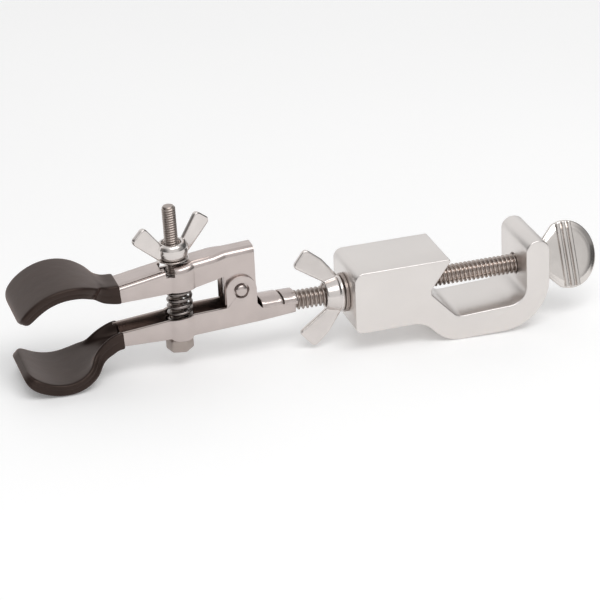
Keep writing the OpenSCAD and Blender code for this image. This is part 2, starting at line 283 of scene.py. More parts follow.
def turnedRing(bm, outline, centre, axis, steps=64):
    # outline holds (distance along the axis, radius) pairs
    centre, side = Vector(centre), axis.orthogonal().normalized()
    verts = [bm.verts.new(centre + axis * along + side * radius) for along, radius in outline]
    edges = [bm.edges.new(pair) for pair in zip(verts, verts[1:])]
    bmesh.ops.spin(bm, geom=verts + edges, cent=centre, axis=axis, angle=math.tau, steps=steps,
                   use_merge=True)


# one turn of a thread, as (share of the pitch, share of the depth) pairs
threadShape = ((0, 0), (0.12, 0.02), (0.42, 0.94), (0.5, 1), (0.62, 1), (0.7, 0.94))


def threadedShank(bm, centre, axis, start, stop, thread, tip=None, steps=40):
    # one crest and one root for each turn, spun once round while it climbs one pitch
    centre, side = Vector(centre), axis.orthogonal().normalized()
    radius, pitch, depth = thread["radius"], thread["pitch"], thread["depth"]
    places, along = [], start - 2 * pitch
    while along < stop + 2 * pitch:
        for share, height in threadShape:
            places.append((along + share * pitch, radius - depth * (1 - height)))
        along += pitch
    verts = [bm.verts.new(centre + axis * a + side * r) for a, r in places]
    edges = [bm.edges.new(pair) for pair in zip(verts, verts[1:])]
    bmesh.ops.spin(bm, geom=verts + edges, cent=centre, axis=axis, angle=math.tau,
                   dvec=axis * (pitch / steps), steps=steps)
    bmesh.ops.remove_doubles(bm, verts=bm.verts, dist=0.002)
    for along, direction in ((start, -axis), (stop, axis)):
        bmesh.ops.bisect_plane(bm, geom=bm.verts[:] + bm.edges[:] + bm.faces[:], dist=0.0001,
                               plane_co=centre + axis * along, plane_no=direction, clear_outer=True)
        rim = [e for e in bm.edges if e.is_boundary
               and abs((e.verts[0].co - centre).dot(axis) - along) < 0.01]
        bmesh.ops.holes_fill(bm, edges=rim, sides=0)
    if tip:
        # the end of the shank narrows by a width over a length
        end, width, length = tip
        for v in bm.verts:
            along = (v.co - centre).dot(axis)
            gap = abs(along - end)
            out = v.co - centre - axis * along
            limit = radius - width * (1 - gap / length)
            if gap < length and out.length > limit:
                v.co = centre + axis * along + out * (limit / out.length)


def extrudedOutline(bm, points, depth, bevel=0, segments=2):
    # points lie in one plane; depth is the vector to the other side
    face = bm.faces.new([bm.verts.new(p) for p in points])
    made = bmesh.ops.extrude_face_region(bm, geom=[face])["geom"]
    bmesh.ops.translate(bm, vec=depth, verts=ofKind(made, bmesh.types.BMVert))
    if bevel:
        rim = dict.fromkeys(e for f in (face, *ofKind(made, bmesh.types.BMFace)) for e in f.edges)
        bmesh.ops.bevel(bm, geom=list(rim), offset=bevel, segments=segments, profile=0.5,
                        affect="EDGES", material=-1, offset_type="OFFSET", clamp_overlap=True)


def roundCorners(points, radii, parts=6):
    # the outline with each corner turned into an arc of its own radius
    rounded, count = [], len(points)
    for i, corner in enumerate(points):
        before, after = points[i - 1], points[(i + 1) % count]
        here = Vector(corner)
        a, b = (Vector(before) - here).normalized(), (Vector(after) - here).normalized()
        radius = radii[i]
        if radius == 0:
            rounded.append(tuple(here))
            continue
        half = a.angle(b) / 2
        centre = here + (a + b).normalized() * (radius / math.sin(half))
        first = here + a * (radius / math.tan(half)) - centre
        last = here + b * (radius / math.tan(half)) - centre
        turn = first.angle_signed(last)
        for k in range(parts + 1):
            angle = -turn * k / parts
            arm = Vector((first.x * math.cos(angle) - first.y * math.sin(angle),
                          first.x * math.sin(angle) + first.y * math.cos(angle)))
            rounded.append(tuple(centre + arm))
    return rounded


def loft(bm, rows, closed=False):
    # rows of points joined one after the other by extruding the last row's edges
    verts = [bm.verts.new(p) for p in rows[0]]
    pairs = list(zip(verts, verts[1:])) + ([(verts[-1], verts[0])] if closed else [])
    edges = [bm.edges.new(pair) for pair in pairs]
    grid = [verts]
    for row in rows[1:]:
        made = bmesh.ops.extrude_edge_only(bm, edges=edges)["geom"]
        fresh = ofKind(made, bmesh.types.BMVert)
        known = set(fresh)
        edges = [e for e in ofKind(made, bmesh.types.BMEdge)
                 if e.verts[0] in known and e.verts[1] in known]
        ordered = []
        for old in grid[-1]:
            ordered.append(next(e.other_vert(old) for e in old.link_edges if e.other_vert(old) in known))
        for v, point in zip(ordered, row):
            v.co = point
        grid.append(ordered)
    return grid


def between(x, table):
    # straight-line value at x from (x, value) pairs
    if x <= table[0][0]:
        return table[0][1]
    for (x0, v0), (x1, v1) in zip(table, table[1:]):
        if x <= x1:
            return v0 + (v1 - v0) * (x - x0) / (x1 - x0)
    return table[-1][1]


bossHead = {
    "edgeBevel": 0.8,
    "edgeParts": 3,
    # corners in X and Z with their radii, from the block's lower corner round
    "corners": [
        (-32.3, -10.1, 2.0), (-32.3, 10.3, 3.0), (-0.1, 10.3, 0.7), (-7.2, 0.8, 0.4),
        (-7.2, -0.8, 0.4), (1.26, -9.9, 4.2), (24.5, -9.0, 5.8), (24.5, 11.5, 3.7),
        (32.3, 11.5, 3.7), (32.3, -17.6, 15.5), (-2.1, -18.0, 11), (-10.1, -10.1, 8)],
    "bore": 3.28,
    "boreSink": 0.5,
    "arm": (24.5, 32.3),        # faces of the arm that the thumb screw runs through
    "rodBore": (-34, -13.5),    # from outside the block to the bottom of the rod's bore
}


def cutWith(piece, bm):
    # takes the drawn solid out of the piece
    bmesh.ops.remove_doubles(bm, verts=bm.verts, dist=0.001)
    bmesh.ops.recalc_face_normals(bm, faces=bm.faces)
    bmesh.ops.scale(bm, vec=(mm, mm, mm), verts=bm.verts)
    mesh = bpy.data.meshes.new("cutter")
    bm.to_mesh(mesh)
    bm.free()
    cutter = bpy.data.objects.new("cutter", mesh)
    bpy.context.scene.collection.objects.link(cutter)
    addModifier(piece, "BOOLEAN", operation="DIFFERENCE", object=cutter, solver="EXACT", use_self=True)
    bakeModifiers(piece)
    bpy.data.objects.remove(cutter)


def cutBore(piece, centre, axis, outline):
    bm = bmesh.new()
    turnedRing(bm, outline, centre, axis, 48)
    cutWith(piece, bm)


def makeBossHead():
    p = bossHead
    half = headHigh.y
    outline = roundCorners([(x, z) for x, z, r in p["corners"]], [r for x, z, r in p["corners"]], 8)
    bm = bmesh.new()
    extrudedOutline(bm, [(x, -half, z) for x, z in outline], (0, 2 * half, 0),
                    p["edgeBevel"], p["edgeParts"])
    piece = finishPiece("bossHead", bm, "head", ["boss_head"], "cast_head", 30)
    r, sink = p["bore"], p["boreSink"]
    armIn, armOut = p["arm"]
    blockOut, blockIn = p["rodBore"]
    flare = r + sink + 1
    # the bore in the arm is countersunk on both sides
    cutBore(piece, (0, 0, 0), xAxis, [
        (armIn - 1.5, 0), (armIn - 1.5, flare), (armIn + sink, r), (armOut - sink, r),
        (armOut + 1.5, flare), (armOut + 1.5, 0)])
    cutBore(piece, (0, 0, 0), xAxis, [(blockOut, 0), (blockOut, r), (blockIn, r), (blockIn, 0)])


screwThread = {"radius": 3.175, "pitch": 1.42, "depth": 0.85}
boltThread = {"radius": 2.15, "pitch": 0.78, "depth": 0.42}
thumbHead = {
    "roll": 25, "length": 19, "width": 22.0, "thick": 1.7,
    "roundTo": 114, "roundStep": 6,     # degrees of the oval before the straight shoulders
    "shoulder": (-0.4, 3.9),
    # steps that raise each face to a soft crown, as (inset, rise)
    "crown": [(0.8, 0.4), (0.9, 0.25), (1.0, 0.12)],
    "ribs": 3, "ribStep": 1.9, "ribWide": 1.25, "ribHigh": 1.65, "ribSoft": 0.32,
}


def makeClampScrew():
    p, low, high = thumbHead, *boxOf("clamp_screw")
    headX = high.x - p["length"]
    bm = bmesh.new()
    threadedShank(bm, (0, 0, 0), xAxis, low.x, headX + 1.0, screwThread, tip=(low.x, 1.2, 1.3))
    turnedRing(bm, [(headX - 0.9, 0), (headX - 0.9, 2.7), (headX - 0.3, 3.3), (headX + 0.6, 3.2),
                    (headX + 1.6, 1.4), (headX + 1.8, 0)], (0, 0, 0), xAxis, 40)
    # flat oval plate whose shoulders run into the shank
    a, b = p["length"] / 2, p["width"] / 2
    corners = []
    for degrees in range(-p["roundTo"], p["roundTo"] + 1, p["roundStep"]):
        turn = math.radians(degrees)
        corners.append((a + a * math.cos(turn), b * math.sin(turn)))
    x, y = p["shoulder"]
    corners += [(x, y), (x, -y)]
    made = bmesh.new()
    extrudedOutline(made, [(headX + x, y, -p["thick"] / 2) for x, y in corners], (0, 0, p["thick"]), 0.6, 4)
    bmesh.ops.recalc_face_normals(made, faces=made.faces)
    # both faces rise in steps to a soft crown
    for side in (1, -1):
        face = max(made.faces, key=lambda f: f.calc_area() * (f.normal.z * side > 0.9))
        for inset, rise in p["crown"]:
            bmesh.ops.inset_individual(made, faces=[face], thickness=inset, depth=rise)
    for i in range(p["ribs"]):
        x = a * 0.97 + (i - (p["ribs"] - 1) / 2) * p["ribStep"]
        reach = b * math.sqrt(max(0.05, 1 - ((x - a) / a) ** 2)) * 0.97
        rib = bmesh.ops.create_cube(made, size=1)["verts"]
        bmesh.ops.scale(made, vec=(p["ribWide"], 2 * reach, p["thick"] + 2 * p["ribHigh"]), verts=rib)
        bmesh.ops.translate(made, vec=(headX + x, 0, 0), verts=rib)
        softenBlock(made, rib, p["ribSoft"], 3)
    roll = Matrix.Rotation(math.radians(90 - p["roll"]), 4, "X")
    bmesh.ops.transform(made, matrix=roll, verts=made.verts)
    plate = bpy.data.meshes.new("plate")
    made.to_mesh(plate)
    made.free()
    bm.from_mesh(plate)
    bpy.data.meshes.remove(plate)
    piece = finishPiece("clampScrew", bm, "screw", ["clamp_screw"], "bright_plate", 40,
                        look="screw_plate")
    # the thread is duller than the head
    markDullAndShade(piece, lambda centre, normal: centre.x < headX - 1)


def makeSwivelRod():
    high = boxOf("swivel_rod")[1]
    tangFrom, tangTo = rodEnd - 9, rodEnd - 3.4
    bm = bmesh.new()
    threadedShank(bm, (0, 0, 0), xAxis, rodEnd - 3.5, high.x, screwThread)
    turnedRing(bm, [(tangFrom, 0), (tangFrom, 2.4), (tangTo, 2.9), (tangTo, 0)], (0, 0, 0), xAxis, 32)
    finishPiece("swivelRod", bm, "swivel", ["swivel_rod"], "dull_plate", 50)


boltHead = {"radius": 4.5, "top": -5.2, "bottom": -9.6, "turn": 15, "soft": 0.75, "lean": 1.0}
# the bolt stands a little towards the grips
boltFoot = Matrix.Translation((bolt.x, 0, boltHead["bottom"]))
boltLean = boltFoot @ Matrix.Rotation(-math.radians(boltHead["lean"]), 4, "Y") @ boltFoot.inverted()


def makeAdjustingBolt():
    p, low, high = boltHead, *boxOf("adjusting_bolt")
    bm = bmesh.new()
    threadedShank(bm, (bolt.x, 0, 0), zAxis, low.z + 3, high.z, boltThread,
                  tip=(high.z, 0.55, 0.7), steps=32)
    head = bmesh.ops.create_cone(bm, cap_ends=True, segments=6, radius1=p["radius"],
                                 radius2=p["radius"], depth=p["top"] - p["bottom"])["verts"]
    turn = Matrix.Rotation(math.radians(p["turn"]), 3, "Z")
    bmesh.ops.rotate(bm, cent=(0, 0, 0), matrix=turn, verts=head)
    bmesh.ops.translate(bm, vec=(bolt.x, 0, (p["top"] + p["bottom"]) / 2), verts=head)
    softenBlock(bm, head, p["soft"], 5)
    bmesh.ops.transform(bm, matrix=boltLean, verts=bm.verts)
    finishPiece("adjustingBolt", bm, "swivel", ["adjusting_bolt"], "dull_plate", 50)


# the hub is given as (share of its height, radius) pairs from the seat up
lockNut = {
    "span": 31.8, "height": 15.0, "hubHigh": 5.7, "hole": 3.2, "thick": 2.1, "belly": 0.35, "turn": -11.5,
    "hub": [(0, 5.5), (0.06, 5.8), (0.2, 5.8), (0.27, 5.3), (0.5, 5.05), (0.75, 4.75), (0.92, 4.5),
            (1, 4.1)],
}
topNut = {
    "span": 28.6, "height": 12.9, "hubHigh": 5.3, "hole": 2.4, "thick": 1.9, "belly": 0.42, "turn": 18,
    "hub": [(0, 3.9), (0.08, 4.3), (0.25, 4.8), (0.5, 5.0), (0.72, 4.85), (0.88, 4.4), (0.97, 3.85),
            (1, 3.4)],
}
# how finely the hub and wings are melted into one casting
nutCast = {"voxel": 0.0002, "smooth": 3}


def wingNutShape(p):
    # stands on Z = 0 with its wings along X
    bm = bmesh.new()
    h, hole = p["hubHigh"], p["hole"]
    hub = [(share * h, radius) for share, radius in p["hub"]]
    rim = hub[-1][1]
    # a countersink leads into the hole
    mouth = [(h - 0.25, rim - 0.35), (h - 1.4, hole + 0.35), (h - 2, hole), (0, hole)]
    turnedRing(bm, [(0, hole)] + hub + mouth, (0, 0, 0), zAxis, 64)
    half, high = p["span"] / 2, p["height"]
    wing = roundCorners(
        [(hole + 0.5, 0.7), (hub[3][1] + 0.4, 0.7), (half * 0.74, high * p["belly"]), (half, high * 0.69),
         (half * 0.66, high), (rim, h - 0.5), (hole + 0.5, h - 1.2)],
        [0, 1.0, 7, 1.5, 1.3, 1.2, 0], 6)
    for side in (1, -1):
        extrudedOutline(bm, [(side * x, -p["thick"] / 2, z) for x, z in wing], (0, p["thick"], 0), 0.45, 3)
    return bm


def castNut(name, p, matrix, body, node):
    bm = wingNutShape(p)
    bmesh.ops.remove_doubles(bm, verts=bm.verts, dist=0.001)
    bmesh.ops.recalc_face_normals(bm, faces=bm.faces)
    bmesh.ops.transform(bm, matrix=matrix, verts=bm.verts)
    piece = finishPiece(name, bm, body, [node], "bright_plate", 180, recalc=False)
    addModifier(piece, "REMESH", mode="VOXEL", voxel_size=nutCast["voxel"], use_smooth_shade=True)
    addModifier(piece, "SMOOTH", factor=0.5, iterations=nutCast["smooth"])
    bakeModifiers(piece, 180)


def makeNuts():
    high = boxOf("rod_wing_nut")[1]
    turn = Matrix.Rotation(math.radians(lockNut["turn"]), 4, "X")
    along = Matrix.Rotation(math.radians(-90), 4, "Y")
    seat = Matrix.Translation((high.x, 0, 0)) @ turn @ along
    castNut("rodWingNut", lockNut, seat, "lock_nut", "rod_wing_nut")
    low = boxOf("jaw_wing_nut")[0]
    turn = Matrix.Rotation(math.radians(topNut["turn"]), 4, "Z")
    seat = boltLean @ Matrix.Translation((bolt.x, 0, low.z)) @ turn
    castNut("jawWingNut", topNut, seat, "top_nut", "jaw_wing_nut")


washers = {"rodHole": 3.4, "rodSoft": 0.2, "jawHole": 2.35}


def makeWashers():
    low, high = boxOf("rod_washer")
    r, soft, hole = high.z, washers["rodSoft"], washers["rodHole"]
    bm = bmesh.new()
    turnedRing(bm, [(low.x, hole), (low.x, r - soft), (low.x + soft, r), (high.x - soft, r),
                    (high.x, r - soft), (high.x, hole), (low.x, hole)], (0, 0, 0), xAxis)
    # the washer takes the darker thread finish as painted shade for the dark gap between the nut and the
    # block
    finishPiece("rodWasher", bm, "lock_nut", ["rod_washer"], "bright_plate", look="dull_plate")
    # the underside is domed, so that it follows the jaw as it tilts
    low, high = boxOf("jaw_washer")
    r, hole = high.y, washers["jawHole"]
    bm = bmesh.new()
    turnedRing(bm, [(low.z, hole), (low.z + 0.3, r - 1.6), (low.z + 0.62, r - 0.7), (low.z + 0.88, r),
                    (high.z - 0.15, r - 0.08), (high.z, r - 0.3), (high.z, hole), (low.z, hole)],
               (bolt.x, 0, 0), zAxis)
    bmesh.ops.transform(bm, matrix=boltLean, verts=bm.verts)
    finishPiece("jawWasher", bm, "top_nut", ["jaw_washer"], "bright_plate")


jawSpring = {
    "outer": 4.1, "wire": 0.57,     # radii of the coil and of its wire
    "turns": 8.2, "dead": 1.1,      # open turns, and closed turns at each end
    "aside": 0.75,
}


def makeSpring():
    p, low, high = jawSpring, *boxOf("jaw_spring")
    top, springX = high.z - 0.2, bolt.x + p["aside"]
    ring = bmesh.new()
    middle = p["outer"] - p["wire"]
    made = bmesh.ops.create_circle(ring, segments=12, radius=p["wire"])["verts"]
    upright = Matrix.Rotation(math.radians(90), 3, "X")
    bmesh.ops.rotate(ring, cent=(0, 0, 0), matrix=upright, verts=made)
    bmesh.ops.translate(ring, vec=(springX + middle, 0, low.z + p["wire"]), verts=made)
    geom = ring.verts[:] + ring.edges[:]
    # closed turns lie almost on each other, and the open ones share the rest of the height
    deadRise = 2 * p["wire"] * 1.02
    climb = (top - low.z - 2 * p["wire"] - 2 * p["dead"] * deadRise) / p["turns"]
    for turns, rise in ((p["dead"], deadRise), (p["turns"], climb), (p["dead"], deadRise)):
        steps = int(turns * 32)
        geom = bmesh.ops.spin(ring, geom=geom, cent=(springX, 0, 0), axis=zAxis,
                              angle=math.tau * turns, dvec=zAxis * (rise * turns / steps),
                              steps=steps)["geom_last"]
    bmesh.ops.holes_fill(ring, edges=[e for e in ring.edges if e.is_boundary], sides=0)
    spring = finishPiece("jawSpring", ring, "swivel", ["jaw_spring"], "dark_wire", 60)
    spring.parent = None
    top * mm
    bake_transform(spring)


# smooth is the angle in degrees below which faces shade as one, and the last value is how squarely a face
# must look into the channel to be painted with shade
sheet = {"thick": 1.0, "edge": 0.16, "smooth": 28, "paintedShadeFrom": 0.35}
bulge = {"radius": 6.05, "drop": 0.8}


def bulged(x, centre, halfWidth):
    # half width of a channel at x, with the round bulge that clears the spring
    away = abs(x - centre)
    return max(halfWidth, math.sqrt(max(0, bulge["radius"] ** 2 - away ** 2)))


def bulgeStations(centre, halfWidth):
    # places along the jaw that show the bulge's curve
    reach = math.sqrt(bulge["radius"] ** 2 - halfWidth ** 2)
    shares = (0.32, 0.62, 0.84, 1, 1.12)
    return [centre] + [centre + side * reach * share for share in shares for side in (-1, 1)]


def bevelRuns(bm, grid, columns, offset, segments):
    edges = []
    for row, following in zip(grid, grid[1:]):
        for column in columns:
            edge = bm.edges.get((row[column], following[column]))
            if edge:
                edges.append(edge)
    bmesh.ops.bevel(bm, geom=edges, offset=offset, segments=segments, profile=0.5, affect="EDGES",
                    material=-1, clamp_overlap=True)


def finishSheet(name, bm, body, nodes, slot, inward, paintedShadeAt, cuts=(), even=True):
    bmesh.ops.remove_doubles(bm, verts=bm.verts, dist=0.01)
    bm.normal_update()
    bmesh.ops.recalc_face_normals(bm, faces=bm.faces)
    bm.normal_update()
    # an open shell: its faces must look away from the channel's inside
    probe = max(bm.faces, key=lambda f: f.calc_center_median().dot(inward) * -1)
    if probe.normal.dot(inward) > 0:
        bmesh.ops.reverse_faces(bm, faces=bm.faces)
    piece = finishPiece(name, bm, body, nodes, slot, sheet["smooth"], recalc=False)
    addModifier(piece, "SOLIDIFY", thickness=sheet["thick"] * mm, offset=-1.0, use_even_offset=even)
    bakeModifiers(piece, sheet["smooth"])
    for points, depth in cuts:
        cutter = bmesh.new()
        extrudedOutline(cutter, points, depth)
        cutWith(piece, cutter)
    addModifier(piece, "BEVEL", width=sheet["edge"] * mm, segments=2, limit_method="ANGLE",
                angle_limit=math.radians(50))
    bakeModifiers(piece, sheet["smooth"])

    # faces that look into the channel take the second colour, painted shade darker than the outside
    def inPaintedShade(centre, normal):
        inside = Vector((0, -centre.y, paintedShadeAt(centre.x) - centre.z)).normalized()
        return normal.dot(inside) > sheet["paintedShadeFrom"]

    markDullAndShade(piece, inPaintedShade)


# floor, wall, width, web and skirt are (X, value) pairs: the heights of a channel's flat side and of the
# free edges of its side walls, and half its width
lowerJaw = {
    "floor": [(-110, -4.0), (-104.8, -4.05), (-86, -4.5), (-61.8, -3.2), (-48.8, -2.4)],
    "wall": [(-110, 0.9), (-104.8, 0.9), (-91, 2.2), (-83, 3.0), (-71.8, 3.4), (-62, 3.4),
             (-60.5, 1.6), (-48.8, 1.2)],
    "width": [(-110, 4.8), (-60, 4.8), (-48.8, 4.15)],
    "wallY": 4.8, "ear": 4.9, "earHole": 2.5, "bend": 1.15, "bulgeAt": 0.2,
    "tabs": [(-60.9, -54.3), (-53.7, -49.4)], "tabSkew": 0.12,
    "paintedShadeZ": 7,       # the inside faces painted with shade look towards this height
}


def makeLowerJaw():
    p, wallY = lowerJaw, lowerJaw["wallY"]
    bulgeX = bolt.x + p["bulgeAt"]
    archTurns = [math.radians(a) for a in range(0, 181, 15)]
    earStations = sorted(round(pivot.x - p["ear"] * math.cos(a), 3) for a in archTurns)
    plain = [dipX - 1.4, dipX, -101, -97, -94, -79, -76, -73.5, -61.2, -60.5, -59, -56, -53, rodEnd - 0.8]
    stations = sorted({round(x, 3) for x in plain + bulgeStations(bulgeX, wallY) + earStations})
    rows = []
    for x in stations:
        w, floor, wall = between(x, p["width"]), between(x, p["floor"]), between(x, p["wall"])
        swell = (bulged(x, bulgeX, w) - w) / (bulge["radius"] - wallY)
        w, floor = bulged(x, bulgeX, w), floor - bulge["drop"] * min(1, 1.5 * swell)
        half = [(w, wall), (w, (wall + floor) / 2), (w, floor), (w - 1.7, floor)]
        rows.append([(x, -y, z) for y, z in half] + [(x, 0, floor)] + [(x, y, z) for y, z in reversed(half)])
    bm = bmesh.new()
    grid = loft(bm, rows)
    bevelRuns(bm, grid, (2, 6), p["bend"], 4)
    # ears with a round top and a hole for the rivet
    for y in (-wallY, wallY):
        feet = [(x, y, between(x, p["wall"])) for x in earStations]
        arch = [(pivot.x + p["ear"] * math.cos(a), y, pivot.z + p["ear"] * math.sin(a)) for a in archTurns]
        loop = [bm.verts.new(q) for q in feet + arch]
        hole = []
        for v in loop:
            out = Vector((v.co.x - pivot.x, 0, v.co.z - pivot.z)).normalized() * p["earHole"]
            hole.append(bm.verts.new((pivot.x + out.x, y, pivot.z + out.z)))
        edges = []
        for ring in (loop, hole):
            edges += [bm.edges.new(pair) for pair in zip(ring, ring[1:] + ring[:1])]
        bmesh.ops.bridge_loops(bm, edges=edges)
    # folded tabs that close the tail over the rod, with skewed ends
    for start, stop in p["tabs"]:
        middle = (start + stop) / 2
        w = between(middle, p["width"])
        over = [(-w, 0.6), (-w, 1.5), (-w + 0.35, 2.5), (-w + 1.2, 3.25), (-1.6, 3.75), (0.2, 3.95),
                (1.8, 3.75), (w - 1.2, 3.2), (w - 0.35, 2.4), (w, 1.4), (w, 0.6)]
        places = (start, start + 1.5, middle, stop - 1.5, stop)
        loft(bm, [[(x - p["tabSkew"] * y, y, z) for y, z in over] for x in places])
    tailFrom = p["tabs"][0][0] - 0.3
    finishSheet("lowerJaw", bm, "swivel", ["lower_jaw"], "jaw_plate", zAxis,
                lambda x: p["paintedShadeZ"] if x < tailFrom else 0)


upperJaw = {
    "web": [(-110, 16.45), (-104.8, 16.6), (-90.6, 19.1), (-80, 20.45), (-72, 21.5), (-61.5, 22.1)],
    "skirt": [(-110, 10.9), (-104.8, 11.0), (-90.8, 11.4), (-82.2, 11.9), (-73.4, 13.8), (-61.5, 13.8)],
    "width": [(-110, 4.8), (-74.6, 4.8), (-70.8, 3.7), (-61.5, 3.7)],
    # the last value on the next line is the height that the faces painted with shade inside the channel look
    # towards
    "bend": 1.1, "rearBend": 2.1, "bulgeAt": 1.2, "paintedShadeZ": 11,
    # the bolt's slot and the notch beside it start and stop at these distances from the bolt
    "slot": (-5.25, 3.6), "slotHalf": 2.45, "notch": (-4.0, -1.4), "notchDeep": 2.7,
    "tongue": (-72.1, -62.0), "tongueZ": 4.1,
    # the near side wall is folded up beside the web, with an open seam between them
    "seam": (-3.85, -3.35), "seamDrop": 0.55, "seamDeep": 1.6,
}


def makeUpperJaw():
    p = upperJaw
    slotFrom, slotTo = bolt.x + p["slot"][0], bolt.x + p["slot"][1]
    notchFrom, notchTo = bolt.x + p["notch"][0], bolt.x + p["notch"][1]
    tongueFrom, tongueTo = p["tongue"]
    bulgeX = bolt.x + p["bulgeAt"]
    plain = [dipX - 1.4, dipX, -101, -97, -93.5, notchFrom + 0.3, notchTo - 0.3, -79, -77, -75.5, -74.6,
             -73.5, tongueFrom, -71.4, -70.8, -69.5, -66, tongueTo]
    stations = sorted({round(x, 3) for x in plain + bulgeStations(bulgeX, lowerJaw["wallY"])})
    rows = []
    for x in stations:
        w = bulged(x, bulgeX, between(x, p["width"]))
        web, skirt = between(x, p["web"]), between(x, p["skirt"])
        # the seam and its dropped edge fade out across the notch
        front = 1 - min(1, max(0, (x - notchFrom) / (notchTo - notchFrom)))
        bend = p["bend"] + (p["rearBend"] - p["bend"]) * (1 - front)
        sides = []
        for drop in (p["seamDrop"] * front, 0):
            side = [(w, skirt), (w, web - 3.2), (w, web - bend - drop)]
            # quarter round from the side wall onto the web
            for degrees in (22.5, 45, 67.5, 90):
                turn = math.radians(degrees)
                side.append((w - bend * (1 - math.cos(turn)), web - drop - bend + bend * math.sin(turn)))
            # the step up to the web lies in the seam that is cut below
            flapEdge = min(-p["seam"][0], side[-1][0]) - 0.04
            webEdge = min(-p["seam"][1], side[-1][0] - 0.3) + 0.04
            sides.append(side + [(flapEdge, web - drop), (webEdge, web), (webEdge - 1.2, web)])
        rows.append([(x, -y, z) for y, z in sides[0]] + [(x, y, z) for y, z in reversed(sides[1])])
    bm = bmesh.new()
    grid = loft(bm, rows)
    # tongues reach down between the ears
    for column in (0, len(rows[0]) - 1):
        chain = [row[column] for row in grid if tongueFrom - 0.01 <= row[column].co.x <= tongueTo + 0.01]
        edges = [bm.edges.get(pair) for pair in zip(chain, chain[1:])]
        made = bmesh.ops.extrude_edge_only(bm, edges=edges)["geom"]
        for v in ofKind(made, bmesh.types.BMVert):
            v.co.z = p["tongueZ"] + 0.25 * max(0, v.co.x - pivot.x - 2)
    web, half, (seamFrom, seamTo) = between(notchTo, p["web"]), p["slotHalf"], p["seam"]
    over, under, aside, notchZ = web + 3, web - 4, 8, web - p["notchDeep"]
    slotCut = [(slotFrom, -half, under), (slotTo, -half, under), (slotTo, -half, over),
               (slotFrom, -half, over)]
    notchCut = [(notchFrom - 0.5, -aside, over), (notchFrom, -aside, notchZ), (notchTo, -aside, notchZ),
                (notchTo, -aside, over)]
    start, stop, deep = dipX - 3, slotFrom + 0.2, -p["seamDeep"]
    seamCut = [(x, seamFrom, between(x, p["web"]) + z) for x, z in
               ((start, deep), (stop, deep), (stop, 3), (start, 3))]
    cuts = [(slotCut, (0, 2 * half, 0)), (notchCut, (0, 2 * aside, 0)),
            (seamCut, (0, seamTo - seamFrom, 0))]
    finishSheet("upperJaw", bm, "jaw", ["upper_jaw"], "jaw_plate", -zAxis,
                lambda x: p["paintedShadeZ"], cuts, even=False)


def makeRivet():
    # a round dome stands over each ear
    half = lowerJaw["wallY"]
    profile = [(0, 1.75), (half - 0.9, 1.75), (half - 0.5, 1.95), (half + 0.1, 1.9), (half + 0.45, 1.6),
               (half + 0.7, 1.0), (half + 0.78, 0)]
    whole = [(-a, r) for a, r in reversed(profile)] + profile[1:]
    bm = bmesh.new()
    turnedRing(bm, whole, (pivot.x, 0, pivot.z), yAxis, 40)
    finishPiece("pivotRivet", bm, "swivel", ["pivot_pin"], "bright_plate", 50, look="jaw_plate")


# Each pad is a run of sections from the tip to the end of the dip. A section holds X, Z, the slope of
# the run and the half width, then heights over the run's line (back at the middle, back at the edges,
# grip face at the middle, rim at the edges), then the thickness of the side walls.
def arcSections(centre, radius, side, table):
    # the round part, from (degrees, half width, half thickness, lift of the edges) rows
    sections = []
    for angle, half, thick, lift in table:
        a = math.radians(angle)
        x, z = centre[0] - radius * math.sin(a), centre[1] + side * radius * math.cos(a)
        sections.append((x, z, side * angle, half, -thick, -thick + lift, thick, thick + lift, 0.3 * half))
    return sections


lowerPad = {
    "centre": (-124.6, 5.0), "radius": 16.35, "side": -1,
    "arc": [(47.6, 6.8, 0.9, 0), (47.2, 8.7, 1.05, 0), (46, 10.2, 1.3, 0), (43.5, 11.6, 1.55, 0),
            (40, 12.4, 1.75, 0), (34, 12.9, 1.9, 0), (22, 13.0, 1.9, 0),
            (8, 13.0, 1.9, 0), (-4, 12.9, 1.9, 0), (-14, 12.7, 1.9, 0.1), (-24, 12.0, 1.9, 0.2),
            (-33, 10.8, 1.9, 0.3), (-39, 9.3, 1.9, 0.4)],
    "neck": [
        (-113.0, -6.1, 43, 6.7, -2.1, -1.7, 1.2, 2.4, 2.0),
        (-110.9, -4.2, 31, 6.1, -2.3, -2.2, 0.2, 2.7, 1.9),
        (-108.8, -2.9, 14, 5.6, -2.8, -2.8, -0.9, 2.9, 1.8),
        (-107, -2.2, 6, 5.5, -2.5, -2.5, -1.1, 3.1, 1.8),
        (-105.3, -1.9, 3, 5.5, -2.7, -2.7, -1.1, 3.15, 1.75),
        (-104.8, -1.85, 3, 5.3, -2.55, -2.55, -1.1, 2.9, 1.6)],
}
upperPad = {
    "centre": (-122.4, 3.9), "radius": 16.2, "side": 1,
    "arc": [(62.5, 7.2, 0.9, 0), (62, 9.0, 1.1, 0), (60.5, 10.6, 1.35, 0), (57.5, 11.9, 1.6, 0),
            (53, 12.6, 1.8, 0), (43, 13.0, 1.95, 0), (28, 13.1, 1.95, 0),
            (13, 13.1, 1.95, 0), (0, 12.9, 1.95, 0), (-11, 12.4, 1.95, 0), (-20, 11.6, 1.95, 0),
            (-29, 10.3, 2.0, 0.1), (-35, 8.9, 2.05, 0.2)],
    "neck": [
        (-112.1, 16.4, -27, 6.5, -2.3, -1.9, 1.0, 2.6, 2.2),
        (-110.2, 15.0, -12, 6.0, -2.6, -2.5, -0.2, 2.9, 1.9),
        (-108.6, 14.4, -3, 5.6, -2.8, -2.8, -1.0, 3.0, 1.8),
        (-107.0, 14.1, 2, 5.5, -3.0, -3.0, -1.2, 3.15, 1.8),
        (-105.3, 13.95, 4, 5.55, -3.15, -3.15, -1.25, 3.25, 1.75),
        (-104.9, 13.9, 4, 5.3, -2.95, -2.95, -1.3, 3.0, 1.6)],
}


padEdge = {"soft": 0.95, "groove": 0.3, "end": 0.5}


